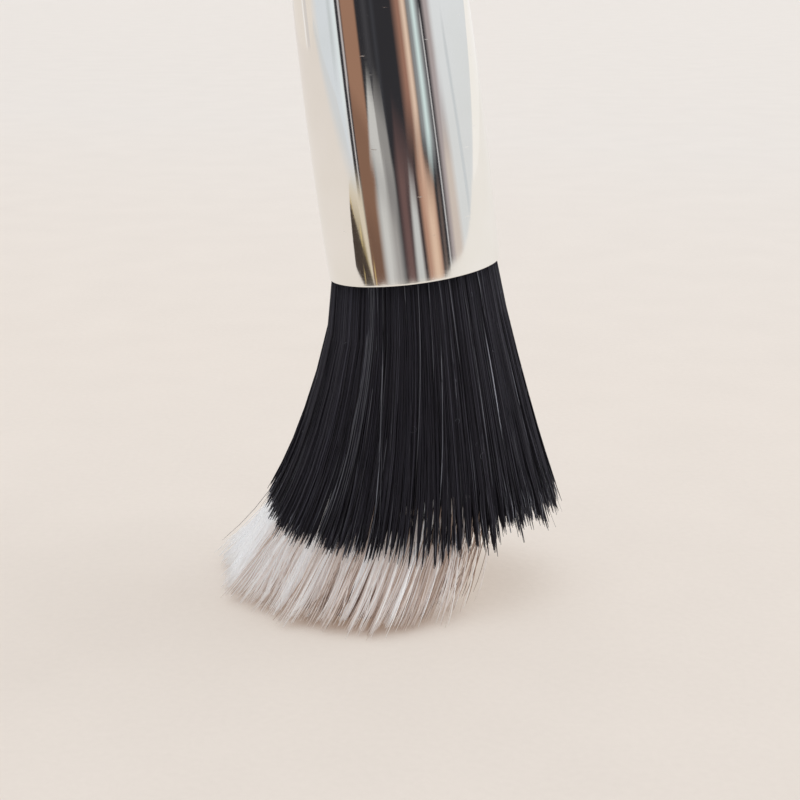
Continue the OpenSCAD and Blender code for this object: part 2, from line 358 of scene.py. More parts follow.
def black_paths(count, share, short, rings, rng):
    """Paths of black fibres between two shares of the radius, this many mm short of the fringe."""
    wide = np.interp(np.linspace(-math.pi, math.pi, BLACK_LOCKS), FRINGE_PHI, LOCK_WIDE)
    lock, offset, lock_phi, half = clumps(count, BLACK_LOCKS, wide, rng)
    spike = np.interp(lock_phi, FRINGE_PHI, SPIKE_L)[lock]
    uneven = rng.uniform(-LOCK_UNEVEN, LOCK_UNEVEN, BLACK_LOCKS)[lock]
    reach = spike * (0.4 + uneven - np.abs(offset) ** 0.8)
    end = fringe_at(lock_phi)[lock] + (reach - short + rng.normal(0, FIBRE_UNEVEN, count)) / MM_PER_U
    down = 1 - np.linspace(1, 0, rings)[None] ** 1.5
    u = BLACK_ROOT_U + (end[:, None] - BLACK_ROOT_U) * down
    drift = rng.normal(0, DRIFT, count) * few(rng, count, 0.05, 3)
    wave = rng.normal(0, WAVE, count)[:, None] * np.sin(math.tau * (down + rng.random((count, 1))))
    beside = (offset * half[lock] * LOCK_OVERLAP)[:, None] + drift[:, None] * (1 - down) + wave
    phi = lock_phi[lock][:, None] + beside * (1 - LOCK_GATHER * down ** 5)
    depth = rng.uniform(*share, count)[:, None]
    lift = rng.normal(0, LOCK_LIFT, BLACK_LOCKS)[lock][:, None] * down
    rho = (depth + (1 - depth) * SQUEEZED * (1 - down)) * (1 + lift)
    return flared(u, rho, phi), lock


# %% [markdown]
# Two layers are enough: an outer one, and an inner one that is shorter and painted darker, as shade deeper
# in the bundle. The tone varies from fibre to fibre and from lock to lock, and a few fibres are painted much
# paler, a painted highlight where they would catch the light.

# %% Black fibres
BLACK_R = 0.06
BLACK_TIP_R = 0.025
BLACK_TIP_SHARE = 0.12
BLACK_RINGS = 8
# How much paler the few fibres are painted, a painted highlight, and which share of all they are
GLINT = 0.35
GLINT_SHARE = 0.03


def black_layer(name, count, share, short, tone, seed):
    """One layer between two shares of the radius, which ends this many mm short of the fringe."""
    rng = np.random.default_rng(seed)
    paths, lock = black_paths(count, share, short, BLACK_RINGS, rng)
    radii = taper(BLACK_R * rng.uniform(0.75, 1.15, count), BLACK_RINGS, BLACK_TIP_SHARE, BLACK_TIP_R)
    tones = rng.normal(tone, 0.15, count) + rng.normal(0, 0.06, BLACK_LOCKS)[lock]
    tones = np.clip(tones + GLINT * (rng.random(count) < GLINT_SHARE), 0, 1)
    made = fibre_object(name, paths, radii, tones[:, None], BLACK_PBT, rng)
    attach(made, "root")
    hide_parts("black_fibres")


black_layer("black_fibres_outer", 4400, (0.955, 1.01), 0, 0.5, 1)
black_layer("black_fibres_inner", 3600, (0.88, 0.96), 0.7, 0.25, 2)

# %% [markdown]
# Behind those two layers the bundle is packed so full that nothing shows through. One closed loft stands for
# the fibres in there. It keeps daylight out and costs few faces.

# %% Black core
def loft_object(name, rings, material):
    """A closed solid through rings of points (ring, column, xyz)."""
    rows, columns = rings.shape[:2]
    index = np.arange(rows * columns).reshape(rows, columns)
    low, high = index[:-1], index[1:]
    sides = np.stack([low, high, np.roll(high, -1, 1), np.roll(low, -1, 1)], -1).reshape(-1, 4)
    faces = sides.tolist() + [index[0].tolist(), index[-1, ::-1].tolist()]
    made = new_object(name, rings, faces, material)
    print(f"{name}: {len(faces)} faces")
    return made


CORE_COLUMNS = 120
BLACK_CORE_RINGS = 16
core_phi = np.linspace(0, math.tau, CORE_COLUMNS, endpoint=False)
core_u = np.linspace(-0.04, 1.82, BLACK_CORE_RINGS)
core_rho = np.linspace(0.93, 0.88, BLACK_CORE_RINGS)
core_places = np.broadcast_arrays(core_u[:, None], core_rho[:, None], core_phi)
black_core = loft_object("black_fibres_core", place(*core_places), BLACK_PBT)
set_attribute(black_core, "tone", np.zeros(len(black_core.data.vertices)))
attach(black_core, "root")
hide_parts("black_fibres")

# %% [markdown]
# A few black fibres stand off from the rest, mostly short ones. Three long ones reach past the fringe, and
# the first of them stands well off to the left. All of them curve away more and more towards their tips.

# %% Stray black fibres
STRAYS = 90
STRAY_RINGS = 9
# The long ones: where they end, in u, and their angle in degrees
LONG_STRAYS = [(2.42, -174), (2.2, 10), (2.36, 60)]
# How far the strays stand off at the tip, as a share of the radius
STRAY_LIFT = (0.01, 0.05)
FIRST_LIFT = 0.14
# A stray begins this far down to its own end
STRAY_FROM = 0.35


def stray_fibres(seed):
    """All the strays, the long ones first."""
    rng = np.random.default_rng(seed)
    down = np.linspace(0, 1, STRAY_RINGS)[None]
    end = rng.uniform(0.9, 2.15, STRAYS)
    phi = rng.uniform(0, math.tau, STRAYS)
    lift = rng.uniform(*STRAY_LIFT, STRAYS)
    long_end, long_angle = np.array(LONG_STRAYS).T
    end[:len(long_end)] = long_end
    phi[:len(long_end)] = np.radians(long_angle)
    lift[0] = FIRST_LIFT
    u = end[:, None] * (STRAY_FROM + (1 - STRAY_FROM) * down)
    turn = phi[:, None] + rng.normal(0, 0.03, STRAYS)[:, None] * down
    paths = flared(u, 0.99 + lift[:, None] * down ** 2, turn)
    radii = taper(rng.uniform(0.03, 0.045, STRAYS), STRAY_RINGS, 0.5)
    return fibre_object("black_fibres_stray", paths, radii, np.full((STRAYS, 1), 0.4), BLACK_PBT, rng)


strays = stray_fibres(8)
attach(strays, "root")
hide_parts("black_fibres")

# %% [markdown]
# ## White fibres
# These are the same filaments without dye, so light passes from one to the next and they look like frosted
# glass thread. In a dense tuft they read as soft white, and single ends show a warm grey. Following light
# through hundreds of fibres would take too long, so the material paints it in: its colour runs by tone from
# a dark brown of painted shade through a warm grey to a cool white, and a faint glow is painted light for
# what passes through.

# %% White fibre material
def white_pbt():
    # The emission is painted light: a faint glow in the fibres' own colour, for light that passes through
    # them.
    material, tree, shader = new_material(
        "white_pbt_filament", IOR=1.55, Specular_IOR_Level=0.3, Emission_Strength=0.17)
    tone = add(tree, "ShaderNodeAttribute", attribute_name="tone")
    where = add(tree, "ShaderNodeTexCoord")
    cloud = add(tree, "ShaderNodeTexNoise",
                {"Vector": where.outputs["Object"], "Scale": per_metre(0.9), "Detail": 2.0})
    colour = add(tree, "ShaderNodeValToRGB", {"Fac": tone.outputs["Fac"]},
                 stops=[(0.0, "#6b5448"), (0.3, "#b69e8f"), (0.6, "#e3d9d4"), (1.0, "#fafbfd")])
    gloss = add(tree, "ShaderNodeMapRange",
                {"Value": cloud.outputs["Fac"], "To Min": 0.38, "To Max": 0.6})
    feed(tree, shader, Base_Color=colour.outputs["Color"], Emission_Color=colour.outputs["Color"],
         Roughness=gloss.outputs["Result"])
    return material


WHITE_PBT = white_pbt()
print("white fibres:", WHITE_PBT.name)

# %% [markdown]
# A white fibre follows the flare down to the fringe. From there it bends to its own place on the surface:
# all the tips are dragged towards -X, those at the far side most. The bend is a Hermite curve, which is set
# by its two ends and the direction at each. On the left, a fibre leaves the fringe pushed outwards. On the
# right it heads for its tip at once.

# %% White fibre paths
# Where a white fibre begins under the black ones, in u, and the number of bent steps to its tip
BURIED_U = 1.6
BENT_STEPS = 6
# How far inside the black fibres the white ones lie, in mm
SLEEVE_T = 1.2
# For each share of the half width, in mm: how far the tips lie from the mouth's middle, and how deep the
# foot is there, from its middle to its edge
TIP_SHARE = (-1.2, -1.0, -0.6, 0.0, 0.27, 0.55, 1.0)
TIP_X = (-21.5, -20.0, -13.2, -3.6, 1.0, 6.5, 11.0)
TIP_DEPTH = (13.5, 13.5, 15.3, 15.2, 13.6, 12.8, 12.5)
# How much further the tips of the far side are dragged, in mm
FAR_DRAG = 4.5
# The turn that pressing gives the fibres: on the left at the fringe, then at every tip, and what takes some
# of that away on the left
PUSHED_OUT = np.array([-0.28, 0, 0.05])
DRAGGED = np.array([-0.12, 0, 0.06])
DRAGGED_LESS = np.array([0.05, 0, 0])


def tip_place(share, phi):
    """Where a fibre's tip lies on the surface, from its share of the radius and its angle."""
    right = share * np.cos(phi)
    x = MOUTH_X + np.interp(right, TIP_SHARE, TIP_X) - FAR_DRAG * np.clip(np.sin(phi), 0, 1)
    return np.stack([x, np.interp(right, TIP_SHARE, TIP_DEPTH) * share * np.sin(phi), 0 * x], -1)


def hermite(start, leaving, tip, landing, t):
    """Points of the curve from start to tip that leaves and lands along these two vectors."""
    return ((2 * t ** 3 - 3 * t ** 2 + 1) * start[:, None] + (t ** 3 - 2 * t ** 2 + t) * leaving[:, None]
            + (3 * t ** 2 - 2 * t ** 3) * tip[:, None] + (t ** 3 - t ** 2) * landing[:, None])


def white_path(share, phi, tip_share, tip_phi, tip_z):
    """Points from under the black fibres to the tip: one straight step to the fringe, then the bent ones."""
    u = np.array([[BURIED_U, FRINGE_U]])
    inside = 1 - SLEEVE_T / head(u)[..., 2]
    upper = place(u + 0 * share[:, None], inside * share[:, None], phi[:, None] + 0 * u)
    start = upper[:, -1]
    tip = tip_place(tip_share, tip_phi)
    tip[:, 2] = tip_z
    chord = tip - start
    length = np.linalg.norm(chord, axis=-1, keepdims=True)
    flare = unit(start - upper[:, -2])
    to_left = np.clip(-np.cos(phi), 0, 1)[:, None]
    turned = (0.6 + 0.38 * np.clip(np.cos(phi), 0, 1))[:, None]
    leaving = unit(flare * (1 - turned) + unit(chord) * turned + to_left * PUSHED_OUT) * length
    landing = unit(unit(chord) + (DRAGGED + to_left * DRAGGED_LESS)) * length
    t = np.linspace(0, 1, BENT_STEPS + 1)[1:, None][None]
    return np.concatenate([upper, hermite(start, leaving, tip, landing, t)], 1)


# %% [markdown]
# The tones paint in light and shade. Light hardly gets into the bundle, so a fibre is painted darker the
# deeper it lies, at the sides of its tuft, and next to the black fringe, which shades it. The far left is
# lit from all round, so it is painted pale and smooth. From there the tufts are painted darker towards the
# right.

# %% White fibre tones, with painted light and shade
def white_tones_with_painted_shade(tone, uneven, out, phi, offset, rings):
    """The tone at each ring of each fibre, with painted light and painted shade in it."""
    far_left = np.interp(np.sin(phi), (-0.35, 0.1), (0, 1)) * (np.cos(phi) < 0)
    light = tone + uneven * (1 - 0.7 * far_left) + 0.35 * far_left
    # Painted light: the left side is painted paler, the right side darker
    light += np.interp(np.cos(phi), (-1, -0.6, 0, 1), (0.46, 0.24, 0.2, 0.04))
    # Painted shade: darker deep in the bundle, at a tuft's sides, towards the tips and next to the black
    # fringe
    seen_into = np.interp(np.cos(phi), (-1, 0.1, 0.5), (0.8, 1, 0.3)) * (1 - 0.75 * far_left)
    into = seen_into * (3 * (1.02 - out) + 0.5 * offset ** 2)
    t = np.linspace(0, 1, rings)
    painted_shade = into[:, None] * t ** 1.5 + 0.25 * (1 - far_left)[:, None] * (1 - t) ** 2
    return np.clip(light[:, None] - painted_shade, 0, 1)


# %% [markdown]
# Three layers make the bundle. A tuft's fibres draw together towards their tips, as a black lock does, and
# some tufts reach further than others. On the right, pressing has spread the bundle so thin that fewer and
# fewer fibres are left there.

# %% White fibres
WHITE_R = 0.055
WHITE_TIP_R = 0.02
WHITE_TIP_SHARE = 0.25
# How far the tufts reach beyond their place on the foot, on average and more or less, how unevenly the
# fibres in them reach, and how much further a tuft's middle reaches than its sides: all shares of the foot
TUFT_REACH = (-0.02, 0.06)
TIP_UNEVEN = 0.02
TUFT_POINT = 0.15
TUFT_OVERLAP = 1.1
# How high the tips of single fibres and of whole tufts stand above the surface, in mm
TIP_UP = 0.4
TUFT_UP = 0.5
# The part of the fibres that is left, for each share of the half width to the right
THIN_AT = (0.18, 0.38, 0.62)
THIN_LEFT = (1.0, 0.14, 0.0)


def white_layer(name, count, share, tufts, gathered, tone, seed):
    """One layer between two shares of the radius; gathered is what is left of a tuft's width at its tip."""
    rng = np.random.default_rng(seed)
    tuft, offset, tuft_phi, half = clumps(count, tufts, 1, rng)
    reach = rng.normal(*TUFT_REACH, tufts)[tuft]
    out = rng.uniform(*share, count)
    tip_out = out * (1 + reach + TUFT_POINT * (0.5 - np.abs(offset)) + rng.normal(0, TIP_UNEVEN, count))
    tip_out += 0.1 * rng.random(count) * (rng.random(count) < 0.06)
    stray = rng.normal(0, 0.01, count) * few(rng, count, 0.05, 5)
    phi = tuft_phi[tuft] + offset * half[tuft] * TUFT_OVERLAP
    tip_phi = tuft_phi[tuft] + offset * half[tuft] * gathered + stray
    right = out * np.cos(phi) + 0.12 * np.clip(np.sin(phi), 0, 1)
    kept = rng.random(count) < np.interp(right, THIN_AT, THIN_LEFT)
    tip_z = WHITE_R + np.abs(rng.normal(0, TIP_UP, count)) + np.abs(rng.normal(0, TUFT_UP, tufts))[tuft]
    paths = white_path(out[kept], phi[kept], tip_out[kept], tip_phi[kept], tip_z[kept])
    rings = paths.shape[1]
    radii = taper(WHITE_R * rng.uniform(0.6, 1.2, kept.sum()), rings, WHITE_TIP_SHARE, WHITE_TIP_R)
    uneven = rng.normal(0, 0.16, count) + rng.normal(0, 0.1, tufts)[tuft]
    tones = white_tones_with_painted_shade(tone, uneven, out, phi, offset, rings)[kept]
    made = fibre_object(name, paths, radii, tones, WHITE_PBT, rng)
    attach(made, "root")
    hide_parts("white_fibres")


# The deeper layers start from lower tones: painted shade inside the bundle
white_layer("white_fibres_outer", 4400, (0.93, 1.03), 135, 0.3, 0.61, 3)
white_layer("white_fibres_middle", 3600, (0.8, 0.92), 100, 0.5, 0.48, 4)
white_layer("white_fibres_inner", 2600, (0.66, 0.82), 70, 0.8, 0.38, 9)

# %% [markdown]
# The white bundle has a packed middle too. Its core stays well inside the tips and ends where the bundle
# thins out on the right. Its tone is painted shade: darker, as a gap between two tufts looks, and darker
# still towards the floor, so it only shows as depth.

# %% White core
def core_edge(most, right):
    """The share of the radius that the core takes, with its right side cut off straight at this share."""
    return np.minimum(most, right / np.maximum(np.cos(core_phi), 0.01))


# The height of the core's foot, and the height at which its painted shade would fade out, in mm
CORE_FOOT_Z = 0.02
CORE_LIGHT_Z = 12
core_rings = white_path(core_edge(0.74, 0.24), core_phi, core_edge(0.76, 0.2), core_phi,
                        np.full(CORE_COLUMNS, CORE_FOOT_Z)).transpose(1, 0, 2)
white_core = loft_object("white_fibres_core", core_rings, WHITE_PBT)
# Painted shade: the core's tone grows with height from dark brown at the floor and stops at half
set_attribute(white_core, "tone", np.clip(core_rings[..., 2] / CORE_LIGHT_Z, 0.05, 0.5))
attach(white_core, "root")
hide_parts("white_fibres")

# %% [markdown]
# ## Pale strands
# When the bundle was tied, some white fibres strayed into the black sleeve. There they show as thin grey
# lines. The black fibres' shade is painted into them: by their tone they are nearly black to a bluish grey,
# and they don't glow as the white fibres do.

# %% Pale strand material
def strayed_pbt():
    material, tree, shader = new_material("white_pbt_among_black", IOR=1.55, Specular_IOR_Level=0.3,
                                          Roughness=0.5)
    tone = add(tree, "ShaderNodeAttribute", attribute_name="tone")
    # Painted shade: white fibres painted from nearly black to a bluish grey
    colour = add(tree, "ShaderNodeValToRGB", {"Fac": tone.outputs["Fac"]},
                 stops=[(0.0, "#1b1a20"), (0.5, "#5c5e68"), (1.0, "#b4b9c8")])
    feed(tree, shader, Base_Color=colour.outputs["Color"])
    return material


STRAYED_PBT = strayed_pbt()
print("pale strands:", STRAYED_PBT.name)

# %% [markdown]
# The lines come and go, because a strand dips under its neighbours. Each one weaves in and out a little as
# it runs down, and its tone changes along its length. Half of them come out of the ferrule.

# %% Fine pale strands
STRAND_RINGS = 14
STRAND_ROOT_U = -0.03
# How far a strand dips, and the place just outside the black fibres, as shares of the radius
DIP = 0.006
OUTSIDE = 1.012


def strand_paths(begin, end, first_phi, last_phi, rho, rings, rng):
    """Strands that weave through the sleeve's surface between two values of u, and how far down they are."""
    count = len(rho)
    down = np.linspace(0, 1, rings)[None]
    u = begin[:, None] + (end - begin)[:, None] * down
    waves = rng.uniform(0.4, 1.5, count)[:, None]
    dip = DIP * np.sin(math.tau * (waves * down + rng.random((count, 1))))
    turn = first_phi[:, None] + (last_phi - first_phi)[:, None] * down
    return flared(u, rho[:, None] + dip, turn), down


def strand_object(name, paths, radii, tones, rng):
    made = fibre_object(name, paths, radii, tones, STRAYED_PBT, rng)
    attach(made, "root")
    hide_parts("pale_strands")


def fine_strands(count, seed):
    rng = np.random.default_rng(seed)
    first_phi = rng.uniform(0, math.tau, count)
    begin = np.where(rng.random(count) < 0.5, STRAND_ROOT_U, rng.uniform(0, 1.4, count))
    end = fringe_at(first_phi) + rng.uniform(-0.3, 0.06, count)
    last_phi = first_phi + rng.normal(0, 0.02, count)
    rho = rng.uniform(0.988, 1.006, count)
    paths, down = strand_paths(begin, end, first_phi, last_phi, rho, STRAND_RINGS, rng)
    bright = rng.random((count, 1)) ** 2.4
    tones = 0.1 + 0.52 * bright + 0.12 * np.sin(math.tau * (2 * down + rng.random((count, 1))))
    fade = np.sin(math.pi * np.clip(down, 0.05, 0.95)) ** 0.5
    radii = rng.uniform(0.03, 0.06, (count, 1)) * fade
    strand_object("pale_strands_fine", paths, radii, np.clip(tones, 0, 1), rng)


fine_strands(190, 5)

# %% [markdown]
# Near the fringe the two kinds mix: single white fibres come to the surface there before the black ones end.

# %% Pale strands at the fringe
def fringe_strands(count, seed):
    rng = np.random.default_rng(seed)
    rings = 6
    first_phi = rng.uniform(0, math.tau, count)
    fringe = fringe_at(first_phi)
    begin = fringe - rng.uniform(0.08, 0.42, count)
    end = fringe + rng.uniform(-0.05, 0.1, count)
    last_phi = first_phi + rng.normal(0, 0.01, count)
    paths, down = strand_paths(begin, end, first_phi, last_phi, np.full(count, OUTSIDE), rings, rng)
    # Painted shade: each is darker where it begins, under the black fibres, and pale towards the fringe
    tones = rng.uniform(0.3, 0.9, (count, 1)) * np.clip(1.6 * down, 0.15, 1)
    radii = taper(rng.uniform(0.025, 0.045, count), rings, 0.5)
    strand_object("pale_strands_at_fringe", paths, radii, tones, rng)


fringe_strands(260, 12)

# %% [markdown]
# Some strands stand out more, and six lie side by side in one pale band. They are listed one by one: the
# angle in degrees at the start and at the end, u at the start and at the end, half width in mm, and tone.
# Each one fades in and out, unless it starts in the ferrule.

# %% Broad pale strands
BROAD_RHO = 1.014
# The first six make the pale band, which also paints a highlight on the black fibres
BROAD_STRANDS = [
    (-124, -128, 0.7, 2.08, 0.06, 0.50), (-122.5, -125.5, -0.03, 2.05, 0.08, 0.42),
    (-121.4, -124, -0.03, 2.0, 0.08, 0.40), (-120.3, -122.7, -0.03, 1.9, 0.08, 0.44),
    (-119.2, -121.4, -0.03, 1.8, 0.08, 0.40), (-118.3, -120.2, -0.03, 1.5, 0.07, 0.34),
    (-116, -116, -0.03, 1.3, 0.05, 0.30), (-112, -112, -0.03, 0.35, 0.05, 0.28),
    (-112, -105, 0.3, 2.0, 0.075, 0.56), (-109, -102, 0.9, 2.1, 0.05, 0.34),
    (-104, -103, 0.6, 1.3, 0.04, 0.26), (-97, -97, -0.03, 0.25, 0.05, 0.30),
    (-88, -91, -0.03, 1.4, 0.05, 0.46), (-81, -82, -0.03, 0.7, 0.05, 0.36),
    (-74, -73, -0.03, 0.35, 0.055, 0.42), (-76, -81, 0.3, 1.75, 0.055, 0.60),
    (-67, -66, -0.03, 0.6, 0.055, 0.46), (-57, -56, -0.03, 0.35, 0.05, 0.38),
    (-43, -42, -0.03, 0.32, 0.05, 0.50), (-45, -46, 0.25, 1.3, 0.06, 0.85),
    (-58, -60, 1.0, 1.8, 0.045, 0.50), (-18, -13, -0.03, 0.5, 0.05, 0.30),
    (-129, -131, 1.1, 2.1, 0.045, 0.40), (-126, -127, 1.3, 2.1, 0.05, 0.52),
    (-118, -117, 1.2, 2.1, 0.05, 0.46), (-114, -113, 1.3, 2.1, 0.05, 0.42),
    (-137, -138, 1.4, 2.05, 0.04, 0.42), (-100, -99, 1.4, 2.12, 0.04, 0.38),
    (20, 22, -0.03, 1.7, 0.06, 0.5), (55, 54, -0.03, 2.0, 0.06, 0.4), (78, 78, -0.03, 1.2, 0.05, 0.55),
    (103, 105, 0.3, 2.0, 0.07, 0.5), (131, 131, -0.03, 1.9, 0.05, 0.4), (158, 156, 0.2, 2.0, 0.06, 0.55),
]


def broad_strands(seed):
    first_angle, last_angle, begin, end, half, tone = np.array(BROAD_STRANDS).T
    count = len(BROAD_STRANDS)
    rng = np.random.default_rng(seed)
    paths, down = strand_paths(begin, end, np.radians(first_angle), np.radians(last_angle),
                               np.full(count, BROAD_RHO), STRAND_RINGS, rng)
    fade_out = np.clip(4 * (1 - down), 0.1, 1)
    fade = np.clip(4 * down * (end - begin)[:, None], 0.1, 1) * fade_out
    fade = np.where((begin < 0)[:, None] & (down < 0.5), fade_out, fade)
    tones = tone[:, None] + 0.08 * np.sin(math.tau * (1.5 * down + rng.random((count, 1))))
    strand_object("pale_strands_broad", paths, half[:, None] * fade ** 0.5, np.clip(tones, 0, 1) * fade, rng)


broad_strands(6)

# %% [markdown]
# Specks of lint cling to the black fibres, as they do on any used brush. Each is a short curl that stands
# upright on the head's side.

# %% Lint
SPECK_R = 0.016


def lint_specks(count, seed):
    rng = np.random.default_rng(seed)
    curl = rng.uniform(0.4, 2.6, count)[:, None] * np.linspace(-1, 1, 7)
    curl_r = rng.uniform(0.12, 0.42, (count, 1))
    down = rng.uniform(0.1, 1.8, count)
    middle = flared(down, np.full(count, OUTSIDE), rng.uniform(0, math.tau, count))[:, None]
    turn = math.tau * rng.random((count, 1))
    outwards = unit((middle - place(1.0, 0.0, 0.0)) * (1, 1, 0))
    sideways = np.cross(outwards, (0, 0, 1))
    across = (curl_r * np.cos(curl + turn))[..., None] * sideways
    upright = (curl_r * np.sin(curl + turn))[..., None] * np.array([0, 0, 1])
    return fibre_object("lint", middle + across + upright + 0.03 * outwards, np.full(curl.shape, SPECK_R),
                        rng.uniform(0.35, 0.8, (count, 1)), STRAYED_PBT, rng)


lint = lint_specks(34, 10)
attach(lint, "root")

# %% [markdown]
# ## The ferrule
# It is a brass tube, drawn, polished and plated with nickel, which gives a warm mirror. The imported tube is
# made of many short cones, and a mirror shows each of them as a step. So the shader works out the normal of
# the long arc that they follow.

# %% Normal of the ferrule's side
# The tube is widest this far above its mouth, and its side is an arc of this radius, in mm
SWELL_AT = 10
SWELL_R = 500
AXIS = (-math.sin(LEAN), 0, math.cos(LEAN))


def arc_normal(tree, position):
    """The normal of the ferrule's side: outwards from the axis, tilted along it by the long arc's slope."""
    height = add(tree, "ShaderNodeVectorMath", {0: position, 1: AXIS}, operation="DOT_PRODUCT")
    on_axis = add(tree, "ShaderNodeVectorMath", {0: AXIS, "Scale": height.outputs["Value"]},
                  operation="SCALE")
    off_axis = add(tree, "ShaderNodeVectorMath", {0: position, 1: on_axis.outputs["Vector"]},
                   operation="SUBTRACT")
    outwards = add(tree, "ShaderNodeVectorMath", {0: off_axis.outputs["Vector"]}, operation="NORMALIZE")
    widest = MOUTH_Z / math.cos(LEAN) + SWELL_AT
    slope = add(tree, "ShaderNodeMapRange", {"Value": height.outputs["Value"], "From Min": widest * MM,
                                             "From Max": (widest + SWELL_R) * MM}, clamp=False)
    tilt = add(tree, "ShaderNodeVectorMath", {0: AXIS, "Scale": slope.outputs["Result"]}, operation="SCALE")
    tilted = add(tree, "ShaderNodeVectorMath", {0: outwards.outputs["Vector"], 1: tilt.outputs["Vector"]},
                 operation="ADD")
    return add(tree, "ShaderNodeVectorMath", {0: tilted.outputs["Vector"]}, operation="NORMALIZE")


print("the ferrule is widest", SWELL_AT, "mm above its mouth")

# %% [markdown]
# Polishing leaves faint lines round the tube and handling leaves small ticks. Both only show where they
# break a reflection, so they go into roughness and bump and not into colour. At the rolled rings and the
# rim, where the arc and the mesh differ, the mesh's own normal stays.

# %% Ferrule material
NICKEL = "#f6f2ec"
NICKEL_DULL = "#f2eee6"


def nickel_plate():
    material, tree, shader = new_material("polished_nickel_plate", Metallic=1.0)
    where = add(tree, "ShaderNodeTexCoord")
    rings = add(tree, "ShaderNodeMapping",
                {"Vector": where.outputs["Object"], "Rotation": (0, LEAN, 0),
                 "Scale": (per_metre(6), per_metre(6), per_metre(0.12))})
    lines = add(tree, "ShaderNodeTexNoise", {"Vector": rings.outputs["Vector"], "Scale": 1.0, "Detail": 4.0})
    film = add(tree, "ShaderNodeTexNoise",
               {"Vector": where.outputs["Object"], "Scale": per_metre(7), "Detail": 2.0})
    tint = add(tree, "ShaderNodeValToRGB", {"Fac": film.outputs["Fac"]},
               stops=[(0.3, NICKEL_DULL), (0.7, NICKEL)])
    polish = add(tree, "ShaderNodeMapRange", {"Value": lines.outputs["Fac"], "To Min": 0.03, "To Max": 0.08})
    ticks = add(tree, "ShaderNodeMapping",
                {"Vector": where.outputs["Object"], "Rotation": (0, LEAN, 0),
                 "Scale": (per_metre(5), per_metre(5), per_metre(0.8))})
    spots = add(tree, "ShaderNodeTexVoronoi", {"Vector": ticks.outputs["Vector"], "Scale": 1.0})
    scuffed = add(tree, "ShaderNodeMapRange", {"Value": spots.outputs["Distance"], "From Min": 0.03,
                                               "From Max": 0.08, "To Min": 0.3, "To Max": 0.0})
    gloss = add(tree, "ShaderNodeMath", {0: polish.outputs["Result"], 1: scuffed.outputs["Result"]})
    side = arc_normal(tree, where.outputs["Object"])
    mesh = add(tree, "ShaderNodeNewGeometry")
    alike = add(tree, "ShaderNodeVectorMath", {0: side.outputs["Vector"], 1: mesh.outputs["Normal"]},
                operation="DOT_PRODUCT")
    trust = add(tree, "ShaderNodeMapRange", {"Value": alike.outputs["Value"], "From Min": 0.99,
                                             "From Max": 0.997})
    normal = add(tree, "ShaderNodeMix", {"Factor": trust.outputs["Result"], 4: mesh.outputs["Normal"],
                                         5: side.outputs["Vector"]}, data_type="VECTOR")
    bump = add(tree, "ShaderNodeBump", {"Height": lines.outputs["Fac"], "Strength": 0.02,
                                        "Distance": 0.01 * MM, "Normal": normal.outputs[1]})
    feed(tree, shader, Base_Color=tint.outputs["Color"], Roughness=gloss.outputs["Value"],
         Normal=bump.outputs["Normal"])
    return material


def finish_node(node, material):
    """Gives a carried CAD node its material."""
    slots = frame["nodes"][node].data.materials
    slots.clear()
    slots.append(material)
    print(node, "in", material.name)


finish_node("ferrule", nickel_plate())

# %% [markdown]
# Two modifiers even out the mesh's own normals without moving a point: one joins the doubled points of the
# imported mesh, and one averages the normals over the faces.

# %% Even normals
for node in ("ferrule", "handle"):
    weld = frame["nodes"][node].modifiers.new("weld", "WELD")
    weld.merge_threshold = 0.001 * MM
    normals = frame["nodes"][node].modifiers.new("even_normals", "WEIGHTED_NORMAL")
    normals.keep_sharp = False
    print(node, "has", len(frame["nodes"][node].modifiers), "modifiers")

# %% [markdown]
# ## Handle
# It is turned birch under several coats of black nitrocellulose lacquer. The lacquer levels into a deep
# gloss, with a slight unevenness called orange peel.

# %% Handle material
def black_lacquer():
    material, tree, shader = new_material("black_lacquer_on_birch", IOR=1.5, Coat_Weight=0.6,
                                          Coat_Roughness=0.04, Coat_IOR=1.5)
    where = add(tree, "ShaderNodeTexCoord")
    peel = add(tree, "ShaderNodeTexNoise",
               {"Vector": where.outputs["Object"], "Scale": per_metre(1.4), "Detail": 1.0})
    haze = add(tree, "ShaderNodeTexNoise",
               {"Vector": where.outputs["Object"], "Scale": per_metre(9), "Detail": 3.0})
    colour = add(tree, "ShaderNodeValToRGB", {"Fac": haze.outputs["Fac"]},
                 stops=[(0.3, "#100f11"), (0.7, "#17161a")])
    gloss = add(tree, "ShaderNodeMapRange", {"Value": haze.outputs["Fac"], "To Min": 0.12, "To Max": 0.24})
    bump = add(tree, "ShaderNodeBump", {"Height": peel.outputs["Fac"], "Strength": 0.12,
                                        "Distance": 0.02 * MM})
    feed(tree, shader, Base_Color=colour.outputs["Color"], Roughness=gloss.outputs["Result"],
         Normal=bump.outputs["Normal"])
    return material


finish_node("handle", black_lacquer())

# %% [markdown]
# ## Glue and thread
# Both are inside the ferrule, and a cut-away would show them. The glue is epoxy, which is poured in, sets to
# an amber plug and lets some light in. The thread is cotton, twisted and dull. Its twist is drawn as
# diagonal bands about 2.2 mm apart, coarser than the real one so that it shows. Such bands of a Wave texture
# lie 0.36 of its unit apart, so the unit is 6 mm.

